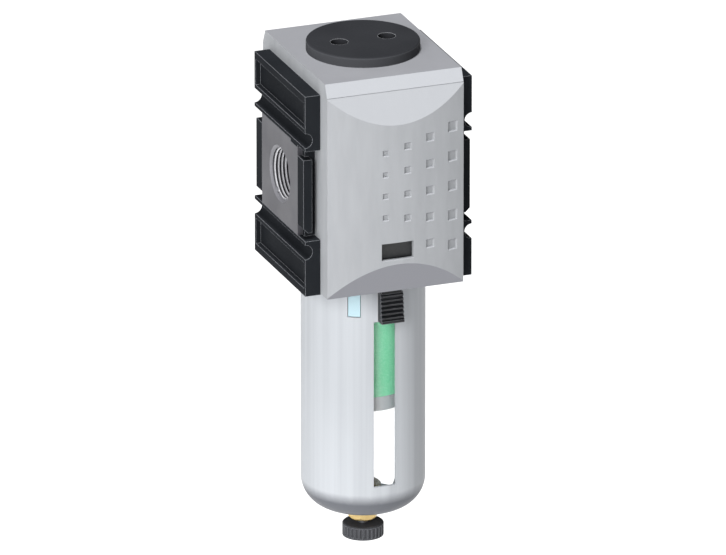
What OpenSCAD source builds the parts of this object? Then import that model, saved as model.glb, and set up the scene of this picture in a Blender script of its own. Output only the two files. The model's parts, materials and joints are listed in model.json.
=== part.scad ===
// Compressed air filter for block assembly: a cast head between two black end frames, bowed
// front and rear covers, a coalescing element, and a bayonet bowl with a manual drain.
// The inlet port's face centre is the origin, +X runs from inlet to outlet and +Z is up.

/* [Head] */
// Width over the end frames, from port face to port face
overall_w = 85; // [84:0.5:88]
// Width of the head between the end frames
head_w = 69.4; // [69:0.1:70]
// Front-to-back depth of the casting between the covers
core_d = 67; // [66.6:0.1:67.4]
// Front-to-back depth of the head's top face
deck_d = 81; // [80:0.5:82]
// Height of the top face above the port axis
head_top = 58.1; // [57:0.1:60]
// Depth of the underside below the port axis
head_drop = 50; // [50:0.1:50.4]
// Thickness of the top deck that the covers hook under
deck_t = 3; // [2:0.5:4]
// Port block size, front to back
port_block_d = 48.2; // [47:0.1:48.4]
// Port block size, up and down
port_block_h = 45.8; // [45:0.1:46]

/* [Ports] */
// Minor diameter of the G3/4 port thread
port_thread_d = 24.12; // [24:0.01:24.3]
// Depth of the port thread
port_thread_l = 16; // [14:0.5:17]
// Diameter of the air passages behind the threads
passage_d = 20; // [16:0.5:21]

/* [Covers] */
// How far the top bevel leans out
bevel_out = 3; // [2:0.1:4]
// Height of the top bevel
bevel_h = 6.5; // [5:0.1:8]
// Rise of the bowed face at its middle
bow_rise = 5.6; // [4:0.1:7]
// Height of the two lens-shaped facets at their middle
facet_h = 15.5; // [12:0.1:18]
// Wall thickness of the covers
cover_t = 2.5; // [2:0.1:2.8]
// Width of the front cover's small window
window_w = 16.2; // [12:0.1:17]
// Height of the front cover's small window
window_h = 8.7; // [6:0.1:9]
// Sideways place of the window's middle, from the bowl's axis
window_x = -0.8; // [-2:0.1:2]
// Height of the window's middle, from the port axis
window_z = -27.9; // [-28.2:0.1:-26]
// Depth of the decorative dimples
dimple_depth = 0.9; // [0.5:0.1:1.4]

/* [End frames] */
// Depth of an end frame, front to back
frame_d = 68.8; // [68:0.1:70]
// Overall height of an end frame
frame_h = 101.4; // [100:0.1:101.8]
// Diameter of the clamp grooves along the frame
groove_d = 7.4; // [6.5:0.1:7.6]
// Height of the clamp grooves above and below the port axis
groove_z = 28.3; // [28:0.1:29]

/* [Top plug] */
// Diameter of the plug's head
plug_d = 54.7; // [52:0.1:56]
// Height of the plug's head
plug_h = 5; // [4:0.1:6]
// Diameter of the plug's spigot
plug_spigot_d = 43.8; // [42:0.1:43.8]
// Distance between the two spanner holes
spanner_pitch = 24.2; // [22:0.1:26]
// Diameter of the spanner holes
spanner_d = 8.6; // [7:0.1:9]

/* [Bowl] */
// Outer diameter of the bowl guard
guard_d = 60; // [59.5:0.1:60.2]
// Wall thickness of the bowl guard
guard_t = 1.6; // [1.4:0.1:1.7]
// Outer corner radius at the foot of the guard
foot_r = 15; // [14.6:0.1:15.4]
// Width of the sight windows
sight_w = 11.3; // [8:0.1:11.4]
// Wall thickness of the clear bowl
bowl_t = 2.4; // [2:0.1:2.6]

/* [Element] */
// Outer diameter of the element's foam sleeve
element_d = 44.8; // [43:0.1:45.2]
// Outer diameter of the element's threaded neck
neck_d = 24; // [23.9:0.01:24.06]

/* [Latch] */
// Width of the latch slider
latch_w = 11.6; // [10:0.1:11.8]
// Downward travel of the latch slider
latch_travel = 4.5; // [3:0.1:4.5]

/* [Drain] */
// Diameter of the drain knob
knob_d = 20; // [18:0.5:22]
// Height of the drain knob
knob_h = 6.4; // [5.8:0.1:6.6]
// Diameter of the drain stem
stem_d = 4.8; // [4.7:0.01:4.9]

/* [Hidden] */

// Small overshoot that lets a cut pass cleanly through a face
cut = 1;
$fn = 96;

// Plan sizes of the head, measured from the bowl's axis
port_x = overall_w / 2;
side_x = head_w / 2;
core_y = core_d / 2;
deck_y = deck_d / 2;
port_r = port_thread_d / 2;
passage_r = passage_d / 2;

// Bowed face of the covers, whose arc runs a little past the head's sides
face_y = deck_y + bevel_out;
apex_y = face_y + bow_rise;
bow_half_w = side_x + 0.5;
bow_r = (pow(bow_half_w, 2) + pow(bow_rise, 2)) / (2 * bow_rise);
seam_z = head_top - bevel_h;

// Bore of the head for the top plug
plug_bore_r = plug_spigot_d / 2 + 0.1;
plug_bore_floor = 38;
plug_o_ring_r = 23.3;
plug_o_ring_wire = 1.15;
plug_o_ring_seat = 2.4;

// Bowl socket in the underside of the head, from the top down
seal_top = -23;
seal_r = 27.9;
socket_top = -32.5;
socket_r = 30.5;
boss_r = 16.5;
boss_end = -34.5;
neck_r = neck_d / 2;
neck_bore_r = neck_r + 0.05;
neck_bore_top = -23.5;

// Guard, clear bowl and their bayonet
guard_r = guard_d / 2;
guard_top = -36;
foot_z = -159;
guard_floor = foot_z - foot_r;
guard_neck_r = 7.3;
guard_neck_end = guard_floor - 2;
bowl_r = guard_r - guard_t - 0.5;
bowl_foot_r = foot_r - guard_t - 0.5;
bowl_floor = foot_z - bowl_foot_r + bowl_t;
bowl_neck_r = 27.5;
bowl_neck_bore = 24.3;
bowl_neck_top = -26;
flange_r = 29.9;
flange_h = 2.5;
bowl_ring_z = -29.5;
bowl_ring_wire = 1.1;
bowl_ring_r = seal_r - 0.05 - bowl_ring_wire;
lug_r = 32.4;
lug_h = 3;
lug_drop = 0.6;
lug_arc = 16;
lug_first = 30;
turn_arc = 30;
lug_gap_arc = 1.5;

// Sight windows: the front one, and two longer ones behind it that let light through
sight_top = -70.5;
sight_end = -155.1;
rear_sight_end = guard_floor + guard_t + 0.2;
rear_sight_w = sight_w + 4;
rear_sight_turn = 138.4;
side_slot_turn = -29;
side_slot_w = 6.4;
side_slot_top = -53;
side_slot_end = -67.9;

// Key of the clear bowl that fills the guard's side slot
key_gap = 0.3;
key_r = guard_r - 0.4;

// Element, from the top down
cap_top = -35;
cap_t = 4.5;
sleeve_end = -111.8;
element_end = -119.1;
element_r = element_d / 2;
tube_r = element_r - 3;
media_r = tube_r - 0.8;
core_r = 10.8;
core_wall = 0.8;
element_low = sleeve_end;
element_high = cap_top - cap_t;
neck_top = -24;
neck_hole_r = 9;
neck_ring_z = -26.4;
neck_ring_wire = 0.93;
neck_ring_r = neck_bore_r - 0.02 - neck_ring_wire;

// Latch slider and the guard's rail that it runs on
latch_front = 40.9;
latch_lean = 0.25;
latch_back = 33.8;
latch_top = -46.5;
latch_end = -67.8;
ridge_out = 0.9;
ridge_pitch = 2.15;
ridge_count = 7;
rail_top = -60;
rail_end = -66.5;
rail_stem_w = 3.6;
rail_head_w = 6.4;
rail_neck_y = 35.6;
rail_front_y = 37.6;
rail_gap = 0.3;
spring_y = 36.6;
spring_wire = 0.25;
spring_r = 0.75;
spring_pressed_l = 6;
latch_slot_top = rail_top + latch_travel + spring_pressed_l;

// Drain, from the top down
drain_top = -163.3;
drain_head_r = 8.8;
gasket_t = 1.8;
drain_head_end = bowl_floor + gasket_t;
drain_shaft_r = 4.5;
drain_seat_t = 1.7;
drain_nut_r = 7.6;
drain_nut_h = 5.4;
drain_nut_end = guard_neck_end - drain_nut_h;
drain_nut_chamfer = 1.5;
drain_shaft_end = drain_nut_end + 0.6;
stem_r = stem_d / 2;
stem_bore_r = stem_r + 0.05;
seal_disc_top = drain_top - drain_seat_t - 0.3;
seal_disc_t = 0.8;
stem_ring_z = -178;
stem_ring_wire = 0.5;
stem_ring_r = stem_bore_r - 0.02 - stem_ring_wire;
knob_top = -183.8;
knob_end = knob_top - knob_h;
knob_r = knob_d / 2;
knob_shoulder = 0.5;
knob_rim = 0.8;
stem_recess = 0.6;
flute_count = 28;

// Colours of the pieces
light_grey = [0.80, 0.81, 0.82];
metal_grey = [0.55, 0.55, 0.57];
black_plastic = [0.15, 0.16, 0.17];
rubber_black = [0.07, 0.07, 0.07];
brass_gold = [0.84, 0.70, 0.36];
sleeve_green = [0.42, 0.80, 0.60];
cap_grey = [0.72, 0.72, 0.73];
clear_tint = [0.80, 0.93, 0.97, 0.4];
guard_grey = [0.82, 0.84, 0.86];
steel_grey = [0.62, 0.63, 0.65];
media_white = [0.93, 0.93, 0.90];

// Puts a piece built around the bowl's axis in its place between the ports
module on_bowl_axis() {
    translate([port_x, 0, 0]) children();
}

// Box from one corner to the opposite one
module box(low, high) {
    translate(low) cube(high - low);
}

// Upright cylinder between two heights
module post(r, low, high) {
    translate([0, 0, low]) cylinder(r = r, h = high - low);
}

// Hollow upright cylinder between two heights
module tube(r, bore_r, low, high) {
    difference() {
        post(r, low, high);
        post(bore_r, low - cut, high + cut);
    }
}

// O-ring around the upright axis
module o_ring(r, wire, z) {
    translate([0, 0, z]) rotate_extrude() translate([r, 0]) circle(r = wire, $fn = 32);
}

// Sector of a ring around the upright axis, starting at an angle from +X
module ring_sector(inner, outer, low, high, start, arc) {
    rotate([0, 0, start]) rotate_extrude(angle = arc)
        translate([inner, low]) square([outer - inner, high - low]);
}

// Outline of a round-footed bowl, right half only
module bowl_outline(r, foot, top) {
    intersection() {
        union() {
            translate([0, foot_z]) square([r, top - foot_z]);
            translate([r - foot, foot_z]) circle(r = foot, $fn = 128);
            translate([0, foot_z - foot]) square([r - foot, foot]);
        }
        translate([0, foot_z - foot]) square([r, top - foot_z + foot]);
    }
}

// Helical wire between two heights, as one closed tube
module coil(r, wire, low, high, turns) {
    steps = turns * 14;
    sides = 8;
    rings = [
        for (i = [0 : steps])
            let (a = 360 * turns * i / steps, z = low + wire + (high - low - 2 * wire) * i / steps)
            for (k = [0 : sides - 1])
                let (b = 360 * k / sides, reach = r + wire * cos(b))
                [reach * cos(a), reach * sin(a), z + wire * sin(b)]
    ];
    sides_of_wire = [
        for (i = [0 : steps - 1])
            for (k = [0 : sides - 1])
                let (n = (k + 1) % sides)
                [i * sides + k, (i + 1) * sides + k, (i + 1) * sides + n, i * sides + n]
    ];
    first_end = [for (k = [0 : sides - 1]) k];
    last_end = [for (k = [0 : sides - 1]) steps * sides + sides - 1 - k];
    polyhedron(points = rings, faces = concat(sides_of_wire, [first_end, last_end]));
}

// Space that the latch's top end sweeps in the underside as the bowl turns
module latch_sweep() {
    inner = latch_back - 0.4;
    outer = latch_front + 0.8;
    half_arc = asin(latch_w / 2 / latch_back) + 1.5;
    ring_sector(inner, outer, -head_drop - cut, latch_top + 0.6, -90 - half_arc, turn_arc + 2 * half_arc);
}

// Pockets in the head that the guard's lugs rise into and turn in
module lug_pockets() {
    for (i = [0 : 3])
        ring_sector(
            socket_r - cut, lug_r + 0.5, -head_drop - cut, socket_top,
            lug_first + 90 * i - lug_arc / 2 - lug_gap_arc, lug_arc + turn_arc + 2 * lug_gap_arc
        );
}

// Inlet chamber, elbow and outlet passage inside the casting
module air_passages() {
    thread_end = port_x - port_thread_l;
    slot_front = 17;
    for (side = [-1, 1])
        translate([side * (port_x + cut), 0, 0]) rotate([0, -side * 90, 0])
            cylinder(r = port_r, h = port_thread_l + cut);
    translate([-thread_end - 0.5, 0, 0]) rotate([0, 90, 0]) cylinder(r = passage_r, h = thread_end + 0.5);
    sphere(r = passage_r);
    post(passage_r, neck_bore_top - cut, 0);
    translate([slot_front, 0, 0]) rotate([0, 90, 0])
        cylinder(r = passage_r, h = thread_end - slot_front + 0.5);
    box([slot_front, -passage_r, seal_top - cut], [thread_end + 0.5, passage_r, 0]);
}

// Step in the port block's top edge that the end frame's tab fills
module port_step(gap) {
    for (side = [-1, 1])
        translate([side * (side_x + port_x) / 2, 0, 0])
            box(
                [-(port_x - side_x) / 2 - gap, -port_block_d / 2 - gap, port_block_h / 2 - 1.3 + gap],
                [(port_x - side_x) / 2 + gap, -14.8, port_block_h / 2 + 0.05]
            );
}

module head_body() {
    color(metal_grey) on_bowl_axis() difference() {
        union() {
            box([-side_x, -core_y, -head_drop], [side_x, core_y, head_top]);
            box([-side_x, -deck_y, head_top - deck_t], [side_x, deck_y, head_top]);
            box([-port_x, -port_block_d / 2, -port_block_h / 2], [port_x, port_block_d / 2, port_block_h / 2]);
        }
        air_passages();
        port_step(0);
        post(plug_bore_r, plug_bore_floor, head_top + cut);
        post(plug_o_ring_r + plug_o_ring_wire + 0.2, head_top - plug_o_ring_seat, head_top + cut);
        post(4, 0, plug_bore_floor + cut);
        post(socket_r, -head_drop - cut, socket_top);
        difference() {
            post(seal_r, socket_top - cut, seal_top);
            post(boss_r, socket_top - 2 * cut, seal_top + cut);
        }
        post(neck_bore_r, socket_top - cut, neck_bore_top);
        lug_pockets();
        latch_sweep();
    }
    color(metal_grey) on_bowl_axis() tube(boss_r, neck_bore_r, boss_end, socket_top);
}

// Solid block behind a cover's outer face, set back all round by an inset
module cover_block(inset) {
    half_w = side_x - inset;
    floor_z = -head_drop + inset;
    top_z = head_top - (inset > 0 ? deck_t + inset : 0);
    lean = bow_rise / facet_h;
    intersection() {
        translate([0, bow_r - apex_y, floor_z]) cylinder(r = bow_r - inset, h = top_z - floor_z, $fn = 256);
        box([-half_w, -apex_y - cut, floor_z], [half_w, -core_y + (inset > 0 ? cut : 0), top_z]);
        rotate([90, 0, 90]) translate([0, 0, -half_w]) linear_extrude(2 * half_w) polygon([
            [0, -head_drop],
            [-face_y + inset, -head_drop],
            [-apex_y + inset, -head_drop + facet_h],
            [-apex_y + inset, seam_z - facet_h],
            [-face_y + inset, seam_z],
            [-deck_y + inset, head_top],
            [0, head_top]
        ]);
    }
}

// Plain bowed cover, hollow behind and hooked under the head's top deck
module cover_shell() {
    difference() {
        cover_block(0);
        cover_block(cover_t);
        box([-side_x - cut, -deck_y, head_top - deck_t], [side_x + cut, 0, head_top + cut]);
    }
}

// Square pocket with sloping walls, its mouth in the plane z = 0
module sloped_pocket(size, depth) {
    mouth = size / 2;
    bottom = size / 2 - 0.6 * depth;
    trapezium = [[-mouth - 0.6 * cut, cut], [mouth + 0.6 * cut, cut], [bottom, -depth], [-bottom, -depth]];
    intersection() {
        rotate([90, 0, 0]) translate([0, 0, -size]) linear_extrude(2 * size) polygon(trapezium);
        rotate([90, 0, 90]) translate([0, 0, -size]) linear_extrude(2 * size) polygon(trapezium);
    }
}

// Grid of square dimples whose size and spacing grow towards the outlet side
module dimples() {
    for (column = [0 : 3]) {
        x = -6.9 + 10.9 * column + 0.3 * pow(column, 2);
        row_pitch = 10.9 * pow(1.112, column);
        size = 3 * pow(1.21, column);
        turn = asin(x / bow_r);
        rows = column < 2 ? 3 : 4;
        for (row = [0 : rows])
            translate([x, bow_r - apex_y - bow_r * cos(turn), 0.5 + (2 - row) * row_pitch])
                rotate([90, 0, turn]) sloped_pocket(size, dimple_depth);
    }
}

module front_cover() {
    color(light_grey) on_bowl_axis() difference() {
        cover_shell();
        dimples();
        box(
            [window_x - window_w / 2, -apex_y - cut, window_z - window_h / 2],
            [window_x + window_w / 2, -apex_y + 2 * cover_t, window_z + window_h / 2]
        );
        latch_sweep();
    }
}

module rear_cover() {
    color(light_grey) on_bowl_axis() rotate([0, 0, 180]) cover_shell();
}

// Dark plate behind the front cover's window
module label_plate() {
    half_w = window_w / 2 + 1.2;
    front_y = apex_y - cover_t - (pow(half_w - window_x, 2) / 2 / (bow_r - cover_t)) - 0.05;
    color(rubber_black) on_bowl_axis() box(
        [window_x - half_w, -front_y, window_z - window_h / 2 - 0.9],
        [window_x + half_w, -front_y + 1, window_z + window_h / 2 + 0.9]
    );
}

// Cross-section of an end frame's upper rail: depth outwards, height up
module rail_outline() {
    proud = port_x - side_x;
    rail_low = port_block_h / 2 - 0.1;
    difference() {
        translate([0, rail_low]) square([proud, frame_h / 2 - rail_low]);
        translate([proud, groove_z]) circle(r = groove_d / 2);
    }
}

// Cross-section of an end frame's middle strip: depth outwards, height up
module strip_outline() {
    proud = port_x - side_x;
    strip_in = 3.3;
    strip_top = 17.6;
    strip_end = -17.2;
    slope = 2.3;
    polygon([
        [strip_in, strip_end - slope], [proud - slope, strip_end - slope], [proud, strip_end],
        [proud, strip_top], [strip_in, strip_top]
    ]);
}

// End frame on the -X side; the other one is its mirror image
module end_frame() {
    proud = port_x - side_x;
    half_d = frame_d / 2;
    strip_half_d = 32;
    web_half_d = 27;
    web_out = 5.3;
    web_top = port_block_h / 2;
    pocket_low = 34;
    pocket_high = 47;
    pocket_depth = 2.6;
    gap = 0.05;
    translate([-side_x, 0, 0]) mirror([1, 0, 0]) {
        difference() {
            union() {
                for (side = [0, 1])
                    mirror([0, 0, side]) rotate([90, 0, 0]) translate([0, 0, -half_d])
                        linear_extrude(frame_d) rail_outline();
                rotate([90, 0, 0]) translate([0, 0, -strip_half_d])
                    linear_extrude(2 * strip_half_d) strip_outline();
                box([0, -web_half_d, -web_top], [web_out, web_half_d, web_top]);
            }
            box(
                [-cut, -port_block_d / 2 - gap, -port_block_h / 2 - gap],
                [proud + cut, port_block_d / 2 + gap, port_block_h / 2 + gap]
            );
            for (side = [0, 1])
                mirror([0, 0, side]) box(
                    [proud - pocket_depth, -half_d + 1.5, pocket_low],
                    [proud + cut, half_d - 1.5, pocket_high]
                );
        }
        box(
            [0, -port_block_d / 2 - gap, port_block_h / 2 - 1.25],
            [proud, -14.85, port_block_h / 2 + gap]
        );
    }
}

module inlet_end_frame() {
    color(black_plastic) on_bowl_axis() end_frame();
}

module outlet_end_frame() {
    color(black_plastic) on_bowl_axis() mirror([1, 0, 0]) end_frame();
}

module top_plug() {
    edge = 1;
    spigot_end = plug_bore_floor + 4;
    color(black_plastic) on_bowl_axis() difference() {
        union() {
            post(plug_d / 2, head_top, head_top + plug_h - edge);
            post(plug_d / 2 - edge, head_top, head_top + plug_h);
            translate([0, 0, head_top + plug_h - edge]) rotate_extrude()
                translate([plug_d / 2 - edge, 0]) circle(r = edge, $fn = 32);
            post(plug_spigot_d / 2, spigot_end, head_top + cut);
        }
        post(plug_spigot_d / 2 - 4, spigot_end - cut, head_top - 2);
        for (side = [-1, 1])
            translate([side * spanner_pitch / 2, 0, 0])
                tube(spanner_d / 2, 1.1, head_top + 0.6, head_top + plug_h + cut);
        for (side = [-1, 1])
            translate([side * spanner_pitch / 2, 0, 0]) post(1.5, head_top + 2, head_top + plug_h + cut);
    }
}

module top_plug_o_ring() {
    color(rubber_black) on_bowl_axis()
        o_ring(plug_o_ring_r, plug_o_ring_wire, head_top - plug_o_ring_seat / 2);
}

module element_top_cap() {
    color(cap_grey) on_bowl_axis() difference() {
        union() {
            post(element_r, cap_top - cap_t, cap_top);
            post(neck_r, cap_top - cut, neck_top);
        }
        post(neck_hole_r, cap_top - cap_t - cut, neck_top + cut);
        tube(neck_r + cut, neck_ring_r - neck_ring_wire - 0.07, neck_ring_z - 1.05, neck_ring_z + 1.05);
    }
}

module element_neck_o_ring() {
    color(rubber_black) on_bowl_axis() o_ring(neck_ring_r, neck_ring_wire, neck_ring_z);
}

// Perforated tube: staggered rows of round holes through a thin wall
module perforated_tube(r, wall, low, high, rows, holes, hole_r) {
    difference() {
        tube(r, r - wall, low, high);
        for (row = [1 : rows])
            for (i = [0 : holes - 1])
                rotate([0, 0, (i + (row % 2) / 2) * 360 / holes])
                    translate([r - wall - cut, 0, low + (high - low) * row / (rows + 1)])
                        rotate([0, 90, 0]) cylinder(r = hole_r, h = wall + 2 * cut, $fn = 16);
    }
}

module element_core() {
    color(steel_grey) on_bowl_axis()
        perforated_tube(core_r, core_wall, element_low, element_high, 6, 8, 2);
}

module element_media() {
    color(media_white) on_bowl_axis() tube(media_r, core_r, element_low, element_high);
}

module element_outer_tube() {
    color(steel_grey) on_bowl_axis()
        perforated_tube(tube_r, tube_r - media_r, element_low, element_high, 6, 12, 2.4);
}

module element_sleeve() {
    color(sleeve_green) on_bowl_axis() tube(element_r, tube_r, element_low, element_high);
}

module element_bottom_cap() {
    color(cap_grey) on_bowl_axis() difference() {
        post(element_r, element_end, sleeve_end);
        post(element_r - 6, element_end - cut, element_end + 2);
    }
}

module bowl_guard() {
    half_sight = sight_w / 2;
    half_rear = rear_sight_w / 2;
    color(guard_grey) on_bowl_axis() difference() {
        union() {
            rotate_extrude() bowl_outline(guard_r, foot_r, guard_top);
            post(guard_neck_r, guard_neck_end, guard_floor + cut);
            for (i = [0 : 3])
                ring_sector(
                    guard_r - cut, lug_r, guard_top - lug_drop - lug_h, guard_top - lug_drop,
                    lug_first + 90 * i - lug_arc / 2, lug_arc
                );
            box([-rail_stem_w / 2, -rail_neck_y, rail_end], [rail_stem_w / 2, -guard_r + cut, rail_top]);
            box([-rail_head_w / 2, -rail_front_y, rail_end], [rail_head_w / 2, -rail_neck_y, rail_top]);
        }
        rotate_extrude() bowl_outline(guard_r - guard_t, foot_r - guard_t, guard_top + cut);
        post(drain_shaft_r + 0.1, guard_neck_end - cut, foot_z);
        box([-half_sight, -guard_r - cut, sight_end], [half_sight, -guard_r / 2, sight_top]);
        for (turn = [rear_sight_turn, -rear_sight_turn])
            rotate([0, 0, turn])
                box([-half_rear, -guard_r - cut, rear_sight_end], [half_rear, -guard_r / 2, sight_top]);
        rotate([0, 0, side_slot_turn])
            box([-side_slot_w / 2, -guard_r - cut, side_slot_end], [side_slot_w / 2, -guard_r / 2, side_slot_top]);
    }
}

module clear_bowl() {
    groove_r = bowl_ring_r - bowl_ring_wire - 0.07;
    half_key = side_slot_w / 2 - key_gap;
    color(clear_tint) on_bowl_axis() difference() {
        union() {
            rotate_extrude() bowl_outline(bowl_r, bowl_foot_r, guard_top);
            post(flange_r, guard_top, guard_top + flange_h);
            post(bowl_neck_r, guard_top, bowl_neck_top);
            rotate([0, 0, side_slot_turn]) box(
                [-half_key, -key_r, side_slot_end + key_gap],
                [half_key, -bowl_r + cut, side_slot_top - key_gap]
            );
        }
        rotate_extrude() bowl_outline(bowl_r - bowl_t, bowl_foot_r - bowl_t, guard_top - 6);
        post(bowl_neck_bore, guard_top - 6 - cut, bowl_neck_top + cut);
        post(drain_shaft_r + 0.1, guard_floor, foot_z);
        tube(bowl_neck_r + cut, groove_r, bowl_ring_z - 1.2, bowl_ring_z + 1.2);
    }
}

module bowl_o_ring() {
    color(rubber_black) on_bowl_axis() o_ring(bowl_ring_r, bowl_ring_wire, bowl_ring_z);
}

// Finger slider: a ribbed block with a T-slot that runs on the guard's rail
module latch_slider() {
    half_w = latch_w / 2;
    plate_front = latch_front - ridge_out - (ridge_count - 1) * latch_lean;
    slot_end = rail_end - rail_gap;
    color(black_plastic) on_bowl_axis() difference() {
        union() {
            box([-half_w + 0.6, -plate_front, latch_end], [half_w - 0.6, -latch_back, latch_top]);
            for (i = [0 : ridge_count - 1]) {
                tip = latch_front - i * latch_lean;
                translate([0, 0, latch_end + i * ridge_pitch]) rotate([90, 0, 90])
                    translate([0, 0, -half_w]) linear_extrude(latch_w) polygon([
                        [-latch_back - 1.5, 0],
                        [-tip + 0.3, 0],
                        [-tip, 0.35],
                        [-tip, i == 0 ? 1.5 : 0.9],
                        [-tip + ridge_out, i == 0 ? 2 : 1.5],
                        [-plate_front, ridge_pitch],
                        [-latch_back - 1.5, ridge_pitch]
                    ]);
            }
        }
        box(
            [-rail_stem_w / 2 - rail_gap, -rail_neck_y - cut, slot_end],
            [rail_stem_w / 2 + rail_gap, -latch_back + cut, latch_slot_top]
        );
        box(
            [-rail_head_w / 2 - rail_gap, -rail_front_y - rail_gap, slot_end],
            [rail_head_w / 2 + rail_gap, -rail_neck_y + rail_gap, latch_slot_top]
        );
    }
}

module latch_spring() {
    color(steel_grey) on_bowl_axis() translate([0, -spring_y, 0])
        coil(spring_r, spring_wire, rail_top, latch_slot_top - 0.05, 8);
}

module drain_body() {
    color(brass_gold) on_bowl_axis() difference() {
        union() {
            translate([0, 0, drain_top - 1]) cylinder(r1 = drain_head_r, r2 = drain_head_r - 1, h = 1);
            post(drain_head_r, drain_head_end, drain_top - 1);
            post(drain_shaft_r, drain_shaft_end, drain_head_end + cut);
        }
        post(stem_bore_r, drain_shaft_end - cut, drain_top - drain_seat_t);
        post(1.2, drain_top - drain_seat_t - cut, drain_top + cut);
    }
}

module drain_gasket() {
    color(rubber_black) on_bowl_axis() tube(drain_head_r, drain_shaft_r + 0.1, bowl_floor, drain_head_end);
}

module drain_nut() {
    color(brass_gold) on_bowl_axis() difference() {
        intersection() {
            translate([0, 0, drain_nut_end]) cylinder(r = drain_nut_r, h = drain_nut_h, $fn = 6);
            translate([0, 0, drain_nut_end]) cylinder(
                r1 = drain_nut_r - drain_nut_chamfer,
                r2 = drain_nut_r - drain_nut_chamfer + drain_nut_h,
                h = drain_nut_h
            );
        }
        post(drain_shaft_r, drain_nut_end - cut, guard_neck_end + cut);
    }
}

module drain_stem() {
    drill_top = seal_disc_top - 4;
    color(steel_grey) on_bowl_axis() difference() {
        post(stem_r, knob_end + stem_recess, seal_disc_top - seal_disc_t);
        post(1.1, knob_end - cut, drill_top);
        translate([0, 0, drill_top - 1.5]) rotate([90, 0, 0])
            cylinder(r = 0.8, h = 3 * stem_r, center = true, $fn = 24);
        tube(stem_r + cut, stem_ring_r - stem_ring_wire - 0.05, stem_ring_z - 0.6, stem_ring_z + 0.6);
    }
}

module drain_stem_o_ring() {
    color(rubber_black) on_bowl_axis() o_ring(stem_ring_r, stem_ring_wire, stem_ring_z);
}

module drain_seal() {
    color(rubber_black) on_bowl_axis() post(stem_r - 0.3, seal_disc_top - seal_disc_t, seal_disc_top);
}

module drain_knob() {
    color(black_plastic) on_bowl_axis() difference() {
        union() {
            post(knob_r, knob_end, knob_top - knob_shoulder);
            translate([0, 0, knob_top - knob_shoulder])
                cylinder(r1 = knob_r, r2 = knob_r - knob_shoulder, h = knob_shoulder);
        }
        post(stem_r, knob_end - cut, knob_top + cut);
        for (i = [0 : flute_count - 1])
            rotate([0, 0, i * 360 / flute_count]) translate([knob_r + 0.1, 0, knob_end + knob_rim])
                cylinder(r = 0.7, h = knob_h - 2 * knob_rim, $fn = 20);
    }
}

head_body();
front_cover();
rear_cover();
inlet_end_frame();
outlet_end_frame();
label_plate();
top_plug();
top_plug_o_ring();
element_top_cap();
element_neck_o_ring();
element_core();
element_media();
element_outer_tube();
element_sleeve();
element_bottom_cap();
bowl_guard();
clear_bowl();
bowl_o_ring();
latch_slider();
latch_spring();
drain_body();
drain_gasket();
drain_nut();
drain_stem();
drain_stem_o_ring();
drain_seal();
drain_knob();
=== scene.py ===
import json
import math

import bmesh
import bpy
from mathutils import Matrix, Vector


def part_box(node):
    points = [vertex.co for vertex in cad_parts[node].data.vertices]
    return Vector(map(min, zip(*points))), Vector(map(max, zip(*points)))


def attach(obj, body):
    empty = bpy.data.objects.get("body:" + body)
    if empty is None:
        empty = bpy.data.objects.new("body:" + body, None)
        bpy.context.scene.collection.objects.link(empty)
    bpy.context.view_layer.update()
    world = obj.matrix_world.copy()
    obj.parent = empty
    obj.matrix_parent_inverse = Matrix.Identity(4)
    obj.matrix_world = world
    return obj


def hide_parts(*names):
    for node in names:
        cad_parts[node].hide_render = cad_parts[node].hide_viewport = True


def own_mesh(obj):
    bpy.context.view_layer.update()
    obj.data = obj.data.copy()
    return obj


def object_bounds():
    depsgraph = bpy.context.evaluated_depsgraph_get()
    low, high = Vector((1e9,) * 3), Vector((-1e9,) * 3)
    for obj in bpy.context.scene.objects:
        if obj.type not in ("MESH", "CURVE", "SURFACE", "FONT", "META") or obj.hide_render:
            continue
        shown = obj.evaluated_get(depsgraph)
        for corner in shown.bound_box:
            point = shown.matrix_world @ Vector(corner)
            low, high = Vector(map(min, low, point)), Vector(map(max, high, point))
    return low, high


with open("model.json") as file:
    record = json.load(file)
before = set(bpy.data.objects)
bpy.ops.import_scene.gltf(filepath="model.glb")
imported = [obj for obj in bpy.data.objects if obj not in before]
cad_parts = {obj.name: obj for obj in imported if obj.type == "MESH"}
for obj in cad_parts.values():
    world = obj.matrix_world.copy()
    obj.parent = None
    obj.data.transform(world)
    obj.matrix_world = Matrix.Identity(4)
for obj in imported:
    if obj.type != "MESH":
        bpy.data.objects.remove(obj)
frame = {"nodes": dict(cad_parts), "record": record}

cad_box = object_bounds()
NODES = frame["nodes"]
MM = 0.001

# Points closer than this are one point
WELD = 1e-6

# ---------------------------------------------------------------- places taken from the frame

port_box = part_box("head_body")
guard_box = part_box("bowl_guard")
AXIS_X = (guard_box[0][0] + guard_box[1][0]) / 2
MOUNTS = {mount["name"]: mount for mount in frame["record"]["mounts"]}
PORT_R = MOUNTS["inlet_port"]["dims"]["r_mm"] * MM
PORT_LENGTH = MOUNTS["inlet_port"]["dims"]["length_mm"] * MM

# G3/4 pipe thread: pitch and depth
THREAD_PITCH = 1.814 * MM
THREAD_DEPTH = 1.162 * MM

# Outer radius of the clear bowl inside the guard
BOWL_R = 27.9 * MM

# Arc of the covers' bowed faces: half its chord and its rise
BOW_HALF_CHORD = 35.5 * MM
BOW_RISE = 5.6 * MM

# Height of the covers' top bevel, and the width and depth of the seam under it
BEVEL_HEIGHT = 6.5 * MM
SEAM = 0.3 * MM

# Radius outside which an upright face of the top plug counts as its rim, which gets a painted highlight
PLUG_RIM_R = 26 * MM

# Degrees between neighbouring faces: up to the first they are one curve, up to the second a rounded edge
CURVE_LIMIT = 12
EDGE_LIMIT = 35


# ---------------------------------------------------------------- material building blocks

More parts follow.
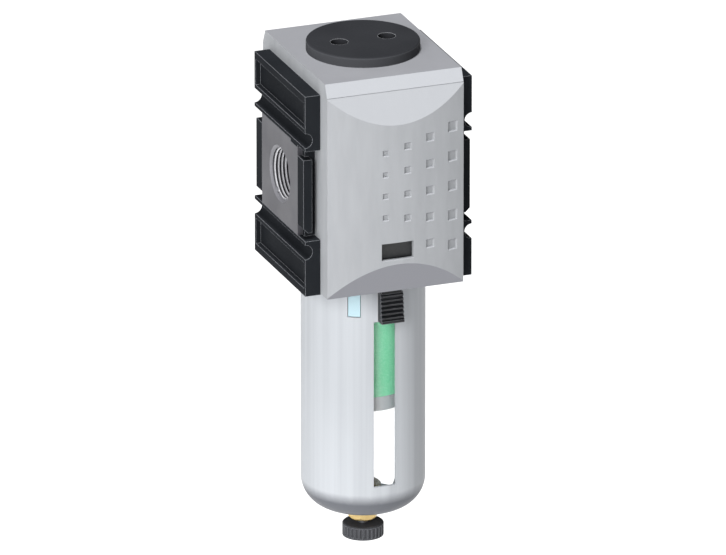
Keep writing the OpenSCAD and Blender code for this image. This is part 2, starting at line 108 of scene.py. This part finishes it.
class Look:
    """One procedural material: a Principled shader and short ways to wire nodes into it."""

    def __init__(self, name, **sockets):
        self.material = bpy.data.materials.new(name)
        self.material.use_nodes = True
        self.tree = self.material.node_tree
        self.shader = self.tree.nodes["Principled BSDF"]
        self.coords = self.tree.nodes.new("ShaderNodeTexCoord").outputs["Object"]
        for socket, value in sockets.items():
            self.shader.inputs[socket.replace("_", " ")].default_value = value

    def node(self, kind, inputs=None, **settings):
        """A new node with its settings and its inputs, which are values or other nodes' outputs."""
        made = self.tree.nodes.new(kind)
        for key, value in settings.items():
            setattr(made, key, value)
        for socket, value in (inputs or {}).items():
            if isinstance(value, bpy.types.NodeSocket):
                self.tree.links.new(value, made.inputs[socket])
            else:
                made.inputs[socket].default_value = value
        return made

    def join(self, output, socket):
        self.tree.links.new(output, self.shader.inputs[socket])

    def stretched(self, scale):
        """Object coordinates scaled by a different amount along each axis."""
        return self.node("ShaderNodeMapping", {"Vector": self.coords, "Scale": scale}).outputs["Vector"]

    def noise(self, scale, detail=2.0, roughness=0.5, vector=None):
        made = self.node("ShaderNodeTexNoise", {
            "Vector": vector or self.coords, "Scale": scale, "Detail": detail, "Roughness": roughness})
        return made.outputs["Fac"]

    def spread(self, value, low, high, at=(0.3, 0.7)):
        """A value between the two in at, turned into a number between low and high."""
        made = self.node("ShaderNodeMapRange", {
            "Value": value, "From Min": at[0], "From Max": at[1], "To Min": low, "To Max": high})
        return made.outputs["Result"]

    def blend(self, value, first, second):
        """A colour between two others."""
        made = self.node("ShaderNodeMix", data_type="RGBA")
        made.inputs["A"].default_value = (*first, 1)
        made.inputs["B"].default_value = (*second, 1)
        self.tree.links.new(value, made.inputs["Factor"])
        return made.outputs["Result"]

    def over(self, under, colour, factor):
        """A colour laid over another node's colour by a factor."""
        made = self.node("ShaderNodeMix", data_type="RGBA")
        made.inputs["B"].default_value = (*colour, 1)
        self.tree.links.new(under, made.inputs["A"])
        self.tree.links.new(factor, made.inputs["Factor"])
        return made.outputs["Result"]

    def bump(self, height, distance, strength):
        made = self.node("ShaderNodeBump", {"Height": height, "Distance": distance, "Strength": strength})
        self.join(made.outputs["Normal"], "Normal")

    def rise(self):
        """How far the surface normal points up: 1 on level tops, 0 on upright faces, -1 underneath."""
        normal = self.node("ShaderNodeNewGeometry").outputs["Normal"]
        return self.node("ShaderNodeSeparateXYZ", {"Vector": normal}).outputs["Z"]


def srgb(red, green, blue):
    """Linear colour from 0 to 255 screen values."""
    def one(value):
        value /= 255
        return value / 12.92 if value <= 0.04045 else ((value + 0.055) / 1.055) ** 2.4
    return one(red), one(green), one(blue)


def edge_highlight_and_wear(look, width):
    """0 on flat surfaces, rising to 1 along convex edges about as wide as width: where edges get a painted
    highlight and some wear.
    """
    bevel = look.node("ShaderNodeBevel", {"Radius": width}, samples=6)
    normal = look.node("ShaderNodeNewGeometry").outputs["Normal"]
    dot = look.node("ShaderNodeVectorMath", operation="DOT_PRODUCT")
    look.tree.links.new(bevel.outputs["Normal"], dot.inputs[0])
    look.tree.links.new(normal, dot.inputs[1])
    return look.spread(dot.outputs["Value"], 1, 0, at=(0.93, 0.995))


def upright_faces(look):
    """1 on faces that stand upright, 0 on level ones."""
    level = look.node("ShaderNodeMath", {0: look.rise()}, operation="ABSOLUTE").outputs[0]
    return look.spread(level, 1, 0, at=(0.3, 0.8))


def upward_lean(look, low, high):
    """0 on faces whose normal rises by low, turning to 1 on those where it rises by high."""
    return look.spread(look.rise(), 0, 1, at=(low, high))


def from_axis(look, centre, across):
    """Distance from an axis through centre, measured only along the directions in across."""
    offset = look.node("ShaderNodeVectorMath", {0: look.coords, 1: centre}, operation="SUBTRACT")
    flat = look.node("ShaderNodeVectorMath", {0: offset.outputs["Vector"], 1: across}, operation="MULTIPLY")
    return look.node("ShaderNodeVectorMath", {0: flat.outputs["Vector"]}, operation="LENGTH").outputs["Value"]


def moulded_plastic(name, colour, shade, grain=0.22, rough=(0.34, 0.46), edge=None, lit_rim=None, painted_shading=None,
                    specular=0.5, drift_scale=38):
    """Moulded plastic: spark-eroded grain, slow colour drift and lighter convex edges, a painted highlight
    with some wear.

    lit_rim gives a painted highlight: a lighter colour for upright faces outside a radius, and that radius.
    painted_shading holds painted light and painted shade: a lighter colour for faces that lean upwards and a
    darker one for faces that lean downwards."""
    look = Look(name, IOR=1.5)
    look.shader.inputs["Specular IOR Level"].default_value = specular
    drift = look.noise(1, detail=3, vector=look.stretched((drift_scale, drift_scale, 38)))
    base = look.blend(look.spread(drift, 0, 1), shade, colour)
    # painted highlight: upright faces outside the radius get the lighter rim colour
    if lit_rim:
        lit_rim_colour, rim_radius = lit_rim
        radius = from_axis(look, (AXIS_X, 0, 0), (1, 1, 0))
        outside = look.spread(radius, 0, 1, at=(rim_radius - MM, rim_radius))
        side = look.node("ShaderNodeMath", {0: upright_faces(look), 1: outside}, operation="MULTIPLY")
        base = look.over(base, lit_rim_colour, side.outputs[0])
    # painted light and painted shade: faces leaning up get the lighter tone, faces leaning down the darker one
    if painted_shading:
        lit_tone, shaded_tone = painted_shading
        base = look.over(base, lit_tone, upward_lean(look, 0.1, 0.42))
        base = look.over(base, shaded_tone, upward_lean(look, -0.1, -0.34))
    # painted highlight along convex edges, partly also edge wear
    if edge:
        base = look.over(base, edge, edge_highlight_and_wear(look, 0.35 * MM))
    look.join(base, "Base Color")
    look.join(look.spread(look.noise(900, detail=4), *rough), "Roughness")
    fine = look.noise(5200, detail=2, roughness=0.6)
    look.bump(fine, 0.05 * MM, grain)
    return look.material


def machined_metal(name, colour, shade, streaks, metallic=0.85, rough=(0.3, 0.45)):
    """Machined or brushed metal with fine streaks along one axis."""
    look = Look(name, Metallic=metallic)
    lines = look.noise(1, detail=5, roughness=0.65, vector=look.stretched(streaks))
    blotches = look.noise(60, detail=3)
    look.join(look.blend(look.spread(lines, 0, 1), shade, colour), "Base Color")
    look.join(look.spread(blotches, *rough), "Roughness")
    look.bump(lines, 0.03 * MM, 0.25)
    return look.material


def cut_thread(name, crest, root):
    """Tapped threads: a light colour on the crests and a dark one in the roots, a painted highlight and
    painted shade, and fine turning lines.
    """
    look = Look(name, Metallic=0.3)
    lines = look.noise(1, detail=4, roughness=0.6, vector=look.stretched((2600, 400, 400)))
    radius = from_axis(look, (0, 0, 0), (0, 1, 1))
    depth = look.spread(radius, 0, 1, at=(PORT_R + 0.05 * MM, PORT_R + 0.75 * THREAD_DEPTH))
    # painted highlight and painted shade: crests light, turning darker deeper into the roots, with a little
    # noise
    painted_shading = look.node("ShaderNodeMath", {0: depth, 1: look.spread(lines, -0.08, 0.08)}, operation="ADD")
    look.join(look.blend(painted_shading.outputs[0], crest, root), "Base Color")
    look.join(look.spread(lines, 0.3, 0.42), "Roughness")
    look.bump(lines, 0.02 * MM, 0.2)
    return look.material


def rubber(name):
    look = Look(name)
    dust = look.noise(400, detail=3)
    look.join(look.blend(dust, (0.008, 0.008, 0.008), (0.022, 0.022, 0.022)), "Base Color")
    look.join(look.spread(look.noise(1500), 0.55, 0.75), "Roughness")
    look.bump(look.noise(3000, detail=3), 0.04 * MM, 0.3)
    return look.material


def foam(name, light, dark):
    """Open-cell foam: small dark cells in a soft, slightly translucent body."""
    look = Look(name, Roughness=0.8)
    look.shader.inputs["Sheen Weight"].default_value = 0.25
    look.shader.inputs["Subsurface Weight"].default_value = 0.15
    look.shader.inputs["Subsurface Radius"].default_value = (0.002, 0.003, 0.002)
    cells = look.node("ShaderNodeTexVoronoi", {"Vector": look.coords, "Scale": 1500.0})
    patch = look.noise(45, detail=3)
    depth = look.spread(cells.outputs["Distance"], 0, 1, at=(0.1, 0.55))
    pores = look.node("ShaderNodeMath", {0: depth, 1: 0.55}, operation="MULTIPLY")
    shade = look.node("ShaderNodeMath", {0: pores.outputs[0], 1: look.spread(patch, 0, 0.45)}, operation="ADD")
    look.join(look.blend(shade.outputs[0], light, dark), "Base Color")
    look.bump(cells.outputs["Distance"], 0.12 * MM, 0.5)
    return look.material


def fleece(name):
    look = Look(name, Roughness=0.9)
    look.shader.inputs["Sheen Weight"].default_value = 0.4
    fibres = look.noise(1, detail=6, roughness=0.7, vector=look.stretched((2600, 2600, 500)))
    look.join(look.blend(look.spread(fibres, 0, 1), srgb(214, 212, 204), srgb(243, 242, 236)), "Base Color")
    look.bump(fibres, 0.2 * MM, 0.5)
    return look.material


def clear_polycarbonate(name, film_tint, key_tint):
    """Clear moulded bowl: a thin tinted gloss, denser in the solid key that fills the guard's slot."""
    look = Look(name, IOR=1.45)
    flow = look.noise(1, detail=2, vector=look.stretched((60, 60, 9)))
    look.join(look.spread(flow, 0.03, 0.08), "Roughness")
    radius = from_axis(look, (AXIS_X, 0, 0), (1, 1, 0))
    key = look.spread(radius, 0, 1, at=(BOWL_R + 0.05 * MM, BOWL_R + 0.3 * MM))
    body = look.blend(look.spread(flow, 0, 1), film_tint, (1, 1, 1))
    look.join(look.over(body, key_tint, key), "Base Color")
    film = look.spread(flow, 0.04, 0.08)
    dense = look.node("ShaderNodeMath", {0: key, 1: 0.85, 2: film}, operation="MULTIPLY_ADD")
    look.join(dense.outputs[0], "Alpha")
    look.bump(flow, 0.05 * MM, 0.05)
    return look.material


def painted_metal(name, colour, shade, underside_shade):
    """Painted metal: fine orange peel, faint bands along Z, and painted shade that darkens faces looking down.
    """
    look = Look(name)
    look.shader.inputs["Specular IOR Level"].default_value = 0.05
    bands = look.noise(1, detail=3, vector=look.stretched((260, 260, 4)))
    base = look.blend(look.spread(bands, 0, 1), shade, colour)
    # painted shade on faces that look down
    look.join(look.over(base, underside_shade, upward_lean(look, -0.01, -0.4)), "Base Color")
    look.join(look.spread(look.noise(700, detail=3), 0.32, 0.42), "Roughness")
    look.bump(look.noise(2400, detail=2), 0.03 * MM, 0.25)
    return look.material


# edge colours are painted highlights along convex edges, partly also wear
MATERIALS = {
    # housing: its last two colours are painted light on faces leaning up and painted shade on faces leaning
    # down
    "housing": moulded_plastic(
        "light_grey_housing", srgb(143, 145, 148), srgb(138, 140, 143), rough=(0.5, 0.6),
        painted_shading=(srgb(151, 153, 157), srgb(119, 120, 125)), specular=0.03, drift_scale=220),
    "casting": moulded_plastic(
        "grey_cast_housing", srgb(126, 127, 131), srgb(121, 122, 126), rough=(0.5, 0.6), specular=0.03),
    "frame": moulded_plastic(
        "black_frame_plastic", srgb(32, 34, 37), srgb(26, 28, 31), grain=0.4, rough=(0.42, 0.56),
        edge=srgb(120, 122, 126), specular=0.004),
    # plug: the rim colour is a painted highlight on its upright outer faces
    "plug": moulded_plastic(
        "dark_plug_plastic", srgb(42, 43, 46), srgb(37, 38, 41), grain=0.35, rough=(0.5, 0.6),
        edge=srgb(140, 141, 145), lit_rim=(srgb(60, 61, 64), PLUG_RIM_R), specular=0.03),
    "latch": moulded_plastic(
        "black_latch_plastic", srgb(25, 26, 28), srgb(19, 20, 22), grain=0.35, rough=(0.3, 0.42),
        edge=srgb(120, 122, 126), specular=0.2),
    "knob": moulded_plastic(
        "black_knob_plastic", srgb(68, 69, 72), srgb(58, 59, 62), grain=0.3, rough=(0.45, 0.55),
        edge=srgb(110, 112, 116), specular=0.05),
    "plate": moulded_plastic(
        "dark_window_plate", srgb(21, 22, 24), srgb(15, 16, 18), grain=0.5, rough=(0.4, 0.55)),
    "cap": moulded_plastic("grey_cap_plastic", srgb(165, 165, 167), srgb(156, 156, 158)),
    "port_metal": machined_metal(
        "bare_cast_metal", srgb(70, 70, 75), srgb(65, 65, 70), (1400, 1400, 1800),
        metallic=0.3, rough=(0.42, 0.52)),
    "chamfer_metal": machined_metal(
        "cut_chamfer_metal", srgb(108, 108, 112), srgb(98, 98, 103), (2600, 2600, 2600), metallic=0.2),
    # thread: light crests and dark roots are a painted highlight and painted shade
    "thread_metal": cut_thread("cut_thread_metal", srgb(196, 196, 200), srgb(34, 34, 37)),
    "steel": machined_metal(
        "stainless_steel", srgb(190, 190, 192), srgb(160, 160, 164), (2000, 2000, 300), metallic=1.0),
    "stem": machined_metal("drawn_steel", srgb(150, 151, 154), srgb(120, 121, 124), (2600, 2600, 400)),
    "brass": machined_metal(
        "turned_brass", srgb(206, 182, 126), srgb(178, 150, 92), (300, 300, 3000),
        metallic=0.5, rough=(0.25, 0.4)),
    # guard: the last colour is painted shade on faces that look down
    "guard": painted_metal("guard_paint", srgb(167, 170, 174), srgb(157, 160, 164), srgb(92, 94, 99)),
    "rubber": rubber("seal_rubber_look"),
    "foam": foam("green_foam_look", srgb(138, 230, 180), srgb(66, 190, 126)),
    "fleece": fleece("filter_fleece_look"),
    "clear": clear_polycarbonate("clear_bowl_look", srgb(200, 238, 248), srgb(164, 190, 199)),
}

NODE_LOOKS = {
    "inlet_end_frame": "frame", "outlet_end_frame": "frame",
    "label_plate": "plate", "top_plug": "plug", "top_plug_o_ring": "rubber",
    "element_top_cap": "cap", "element_neck_o_ring": "rubber", "element_core": "steel",
    "element_media": "fleece", "element_outer_tube": "steel", "element_sleeve": "foam",
    "element_bottom_cap": "cap", "clear_bowl": "clear", "bowl_o_ring": "rubber",
    "latch_slider": "latch", "latch_spring": "steel", "drain_body": "brass", "drain_gasket": "rubber",
    "drain_nut": "brass", "drain_stem": "stem", "drain_stem_o_ring": "rubber", "drain_seal": "rubber",
    "drain_knob": "knob",
}


def dress(obj, look):
    """Gives an object one material in all its slots."""
    obj.data.materials.clear()
    obj.data.materials.append(MATERIALS[look])


for node_name, look_name in NODE_LOOKS.items():
    dress(NODES[node_name], look_name)


# ---------------------------------------------------------------- softened edges on the CAD nodes

# Rounding of each node's sharp edges, in millimetres
EDGE_RADIUS = {
    "inlet_end_frame": 0.3, "outlet_end_frame": 0.3, "top_plug": 0.3, "label_plate": 0.1,
    "element_top_cap": 0.25, "element_bottom_cap": 0.4, "latch_slider": 0.15,
    "drain_body": 0.2, "drain_nut": 0.2, "drain_knob": 0.2, "drain_stem": 0.1,
}


def flatten(obj):
    """Joins the triangles of an object's flat faces."""
    weld = obj.modifiers.new("weld", "WELD")
    weld.merge_threshold = WELD
    dissolve = obj.modifiers.new("flatten", "DECIMATE")
    dissolve.decimate_type = "DISSOLVE"
    dissolve.angle_limit = math.radians(0.4)


def round_edges(obj, radius_mm):
    """Joins an object's flat faces and rounds its sharp edges a little."""
    flatten(obj)
    bevel = obj.modifiers.new("bevel", "BEVEL")
    bevel.width = radius_mm * MM
    bevel.segments = 3
    bevel.limit_method = "ANGLE"
    bevel.angle_limit = math.radians(28)
    bevel.miter_outer = "MITER_ARC"


def soften(obj, radius_mm):
    """Rounds an object's sharp edges, as moulding or deburring does, and evens out its shading."""
    round_edges(obj, radius_mm)
    shading = obj.modifiers.new("shading", "WEIGHTED_NORMAL")
    shading.keep_sharp = False
    shading.weight = 80


for node_name, radius in EDGE_RADIUS.items():
    soften(NODES[node_name], radius)


# ---------------------------------------------------------------- floor, light and camera

def link(name, data):
    """A new object in the scene."""
    obj = bpy.data.objects.new(name, data)
    bpy.context.scene.collection.objects.link(obj)
    return obj


def build_stage():
    """A wide pale floor, 0.3 m below the hanging filter and 28 m across."""
    level = cad_box[0][2] - 0.30
    half = 14
    corners = [(-half, -half, level), (half, -half, level), (half, half, level), (-half, half, level)]
    mesh = bpy.data.meshes.new("floor")
    mesh.from_pydata(corners, [], [(0, 1, 2, 3)])
    floor = link("floor", mesh)
    look = Look("pale_floor", Roughness=0.9)
    drift = look.spread(look.noise(3), 0, 1)
    look.join(look.blend(drift, (0.87, 0.87, 0.87), (0.89, 0.89, 0.89)), "Base Color")
    mesh.materials.append(look.material)


def area_light(name, azimuth, elevation, distance, size, power):
    """A square soft light that looks at the filter's middle."""
    target = Vector((AXIS_X, 0, -0.05))
    az, el = math.radians(azimuth), math.radians(elevation)
    away = Vector((math.sin(az) * math.cos(el), -math.cos(az) * math.cos(el), math.sin(el)))
    data = bpy.data.lights.new(name, "AREA")
    data.shape = "SQUARE"
    data.size = size
    data.energy = power
    lamp = link(name, data)
    lamp.location = target + away * distance
    lamp.rotation_euler = (-away).to_track_quat("-Z", "Y").to_euler()


def build_light():
    world = bpy.data.worlds.new("studio")
    world.use_nodes = True
    world.node_tree.nodes["Background"].inputs["Color"].default_value = (1, 1, 1, 1)
    world.node_tree.nodes["Background"].inputs["Strength"].default_value = 0.12
    bpy.context.scene.world = world
    area_light("overhead", azimuth=-46, elevation=78, distance=6.0, size=1.6, power=525)
    area_light("key", azimuth=-45, elevation=21, distance=6.0, size=3.2, power=445)


def build_camera():
    """A very long lens, so that the view is nearly parallel."""
    azimuth, elevation = math.radians(-20.8), math.radians(20.6)
    # Width of what the picture shows at the filter, in metres
    frame_width = 0.3479
    data = bpy.data.cameras.new("camera")
    data.sensor_width = 36
    data.lens = 1000
    data.clip_end = 100
    distance = frame_width * data.lens / data.sensor_width
    camera = link("camera", data)
    away = Vector((
        math.sin(azimuth) * math.cos(elevation),
        -math.cos(azimuth) * math.cos(elevation),
        math.sin(elevation),
    ))
    camera.location = Vector((AXIS_X, 0, -0.0586)) + away * distance
    camera.rotation_euler = (-away).to_track_quat("-Z", "Y").to_euler()
    bpy.context.scene.camera = camera


build_stage()
build_light()
build_camera()
bpy.context.scene.view_settings.view_transform = "Standard"


# ---------------------------------------------------------------- mesh tools

def finish_shape(shape, name):
    """A bmesh turned into a new object."""
    mesh = bpy.data.meshes.new(name)
    shape.to_mesh(mesh)
    shape.free()
    return link(name, mesh)


def welded_copy(node_name, name):
    """A CAD node's mesh as a new object with its faces joined along their edges."""
    shape = bmesh.new()
    shape.from_mesh(NODES[node_name].data)
    bmesh.ops.remove_doubles(shape, verts=shape.verts, dist=WELD)
    return finish_shape(shape, name)


def apply_modifiers(obj):
    graph = bpy.context.evaluated_depsgraph_get()
    finished = bpy.data.meshes.new_from_object(obj.evaluated_get(graph))
    obj.modifiers.clear()
    obj.data = finished


def cut(obj, cutter):
    """Cuts one object out of another and removes the cutter."""
    modifier = obj.modifiers.new("cut", "BOOLEAN")
    modifier.operation = "DIFFERENCE"
    modifier.object = cutter
    modifier.solver = "EXACT"
    apply_modifiers(obj)
    mesh = cutter.data
    bpy.data.objects.remove(cutter)
    bpy.data.meshes.remove(mesh)


def facet_normals(obj, ideal=None):
    """Flat faces get flat normals, curved ones averaged ones, and thin edge strips blend between them.

    ideal gives the exact normal at a point of a known curved face, or None elsewhere."""
    mesh = obj.data
    shape = bmesh.new()
    shape.from_mesh(mesh)
    bmesh.ops.remove_doubles(shape, verts=shape.verts, dist=WELD)
    bmesh.ops.dissolve_degenerate(shape, edges=shape.edges, dist=WELD)
    shape.normal_update()
    shape.to_mesh(mesh)
    curved, strip, area = {}, {}, {}
    for face in shape.faces:
        area[face] = face.calc_area()
    for face in shape.faces:
        around = longest = gentle = turned = 0
        for edge in face.edges:
            length = edge.calc_length()
            around += length
            longest = max(longest, length)
            if len(edge.link_faces) == 2 and min(area[other] for other in edge.link_faces) > 1e-10:
                bend = math.degrees(edge.calc_face_angle(0))
                gentle += length if 0.5 < bend < CURVE_LIMIT else 0
                turned += length if CURVE_LIMIT < bend < EDGE_LIMIT else 0
        strip[face] = area[face] < 0.4 * MM * longest and turned > 0.2 * around
        curved[face] = gentle > 0.2 * around

    def average(face, limit, members):
        total = Vector()
        for other in members:
            if other.normal.dot(face.normal) > math.cos(math.radians(limit)):
                total += other.normal * area[other]
        return total.normalized() if total.length > 0 else face.normal

    def own(face, vert):
        exact = ideal(vert.co, face.normal) if ideal else None
        if exact:
            return exact
        if not curved[face]:
            return face.normal
        return average(face, CURVE_LIMIT, [other for other in vert.link_faces if not strip[other]])

    normals = []
    for face in shape.faces:
        for loop in face.loops:
            vert = loop.vert
            if not strip[face]:
                normals.append(own(face, vert))
                continue
            broad = [
                other for other in vert.link_faces
                if not strip[other] and other.normal.dot(face.normal) > math.cos(math.radians(EDGE_LIMIT))
            ]
            if broad:
                normals.append(own(max(broad, key=area.get), vert))
            else:
                normals.append(average(face, EDGE_LIMIT, vert.link_faces))
    normals = [tuple(normal) for normal in normals]
    shape.free()
    mesh.shade_smooth()
    mesh.normals_split_custom_set(normals)


def block(name, low, high):
    """A box-shaped cutter."""
    shape = bmesh.new()
    corners = [
        shape.verts.new((x, y, z))
        for z in (low[2], high[2]) for y in (low[1], high[1]) for x in (low[0], high[0])
    ]
    for ids in ((0, 2, 3, 1), (4, 5, 7, 6), (0, 1, 5, 4), (2, 6, 7, 3), (0, 4, 6, 2), (1, 3, 7, 5)):
        shape.faces.new([corners[i] for i in ids])
    return finish_shape(shape, name)


# ---------------------------------------------------------------- covers, guard, spring and head casting

def seam_cutter(node_name, outward):
    """Fine moulding seam along the lower edge of a cover's top bevel."""
    low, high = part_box(node_name)
    apex = low[1] if outward < 0 else high[1]
    seam_z = high[2] - BEVEL_HEIGHT
    deep = apex - outward * (BOW_RISE + SEAM)
    far = apex + outward * MM
    return block(
        "seam_cutter",
        (low[0] - MM, min(deep, far), seam_z - SEAM / 2),
        (high[0] + MM, max(deep, far), seam_z + SEAM / 2),
    )


def build_cover(node_name, name, outward):
    """A bowed cover with crisp facets and an evenly shaded bow."""
    cover = welded_copy(node_name, name)
    cut(cover, seam_cutter(node_name, outward))
    round_edges(cover, 0.3)
    apply_modifiers(cover)
    radius = (BOW_HALF_CHORD ** 2 + BOW_RISE ** 2) / (2 * BOW_RISE)
    low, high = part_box(node_name)
    apex = low[1] if outward < 0 else high[1]
    middle = Vector((AXIS_X, apex - outward * radius, 0))

    def bow(point, normal):
        away = Vector((point.x - middle.x, point.y - middle.y, 0))
        if abs(away.length - radius) > 0.1 * MM:
            return None
        away.normalize()
        return away if away.dot(normal) > math.cos(math.radians(4)) else None

    facet_normals(cover, bow)
    dress(cover, "housing")
    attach(cover, "head")
    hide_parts(node_name)


def build_guard():
    """The metal guard with deburred windows and an evenly shaded tube."""
    guard = welded_copy("bowl_guard", "guard_shell")
    round_edges(guard, 0.2)
    apply_modifiers(guard)
    facet_normals(guard)
    dress(guard, "guard")
    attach(guard, "bowl")
    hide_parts("bowl_guard")


def thread_cutter(name, mouth_x, inward):
    """Solid screw whose ridge cuts a pipe thread into a port, from its mouth inwards along X."""
    steps = 72
    turns = int(PORT_LENGTH / THREAD_PITCH)
    core = PORT_R - 0.15 * MM
    crest = PORT_R + THREAD_DEPTH
    # Half widths of the ridge at its foot and at its crest
    foot = 0.46 * THREAD_PITCH
    tip = 0.09 * THREAD_PITCH
    section = [(core, -foot), (crest, -tip), (crest, tip), (core, foot)]
    shape = bmesh.new()
    rings = []
    for i in range(steps * turns + 1):
        angle = 2 * math.pi * i / steps
        # Starts outside the mouth, so that the groove has no end there
        along = THREAD_PITCH * (i / steps - 1.2)
        ring = []
        for r, offset in section:
            x = mouth_x + inward * (along + offset)
            ring.append(shape.verts.new((x, r * math.cos(angle), r * math.sin(angle))))
        rings.append(ring)
    for a, b in zip(rings, rings[1:]):
        for k in range(4):
            n = (k + 1) % 4
            shape.faces.new((a[k], a[n], b[n], b[k]))
    shape.faces.new(rings[0])
    shape.faces.new(reversed(rings[-1]))
    bmesh.ops.recalc_face_normals(shape, faces=shape.faces)
    return finish_shape(shape, name)


def mouth_cutter(name, mouth_x, inward):
    """Cone that chamfers a port's mouth."""
    steps = 96
    outside = (PORT_R + 2.9 * MM, -1 * MM)
    inside = (PORT_R - 0.4 * MM, 2.3 * MM)
    shape = bmesh.new()
    rings = []
    for r, depth in (outside, inside):
        rings.append([
            shape.verts.new((
                mouth_x + inward * depth,
                r * math.cos(2 * math.pi * i / steps),
                r * math.sin(2 * math.pi * i / steps),
            ))
            for i in range(steps)
        ])
    for i in range(steps):
        n = (i + 1) % steps
        shape.faces.new((rings[0][i], rings[0][n], rings[1][n], rings[1][i]))
    shape.faces.new(rings[0])
    shape.faces.new(rings[1])
    bmesh.ops.recalc_face_normals(shape, faces=shape.faces)
    return finish_shape(shape, name)


def build_head_casting():
    """The cast head: threaded ports, grey outside and bare metal port blocks."""
    head = welded_copy("head_body", "head_casting")
    flatten(head)
    apply_modifiers(head)
    head.data.materials.clear()
    slots = ("casting", "port_metal", "thread_metal", "housing", "chamfer_metal")
    for look in slots:
        head.data.materials.append(MATERIALS[look])
    frame_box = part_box("inlet_end_frame")
    side = port_box[0][0] + (frame_box[1][0] - frame_box[0][0])
    far_side = port_box[1][0] - (side - port_box[0][0])
    thread_r = PORT_R + THREAD_DEPTH + 0.2 * MM
    chamfer_r = PORT_R + 2.5 * MM
    for mouth_x, inward in ((port_box[0][0], 1), (port_box[1][0], -1)):
        cut(head, mouth_cutter("mouth_cutter", mouth_x, inward))
        cut(head, thread_cutter("thread_cutter", mouth_x, inward))
    for face in head.data.polygons:
        x, y, z = face.center
        depth = min(x - port_box[0][0], port_box[1][0] - x)
        radius = math.hypot(y, z)
        look = "casting"
        if radius < thread_r and 1.7 * MM < depth < 18 * MM:
            look = "thread_metal"
        elif radius < chamfer_r and abs(face.normal.x) < 0.95 and depth < 2.4 * MM:
            look = "chamfer_metal"
        elif x < side - 0.4 * MM or x > far_side + 0.4 * MM:
            look = "port_metal"
        elif abs(face.normal.x) > 0.5:
            look = "housing"
        face.material_index = slots.index(look)
    facet_normals(head)
    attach(head, "head")
    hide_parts("head_body")


def build_spring():
    """The latch's spring as a smooth-shaded steel copy that rides with the bowl."""
    spring = welded_copy("latch_spring", "latch_spring_coil")
    spring.data.shade_smooth()
    dress(spring, "steel")
    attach(spring, "bowl")
    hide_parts("latch_spring")
    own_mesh(spring)


build_head_casting()
build_spring()
build_cover("front_cover", "front_cover_shell", -1)
build_cover("rear_cover", "rear_cover_shell", 1)
build_guard()
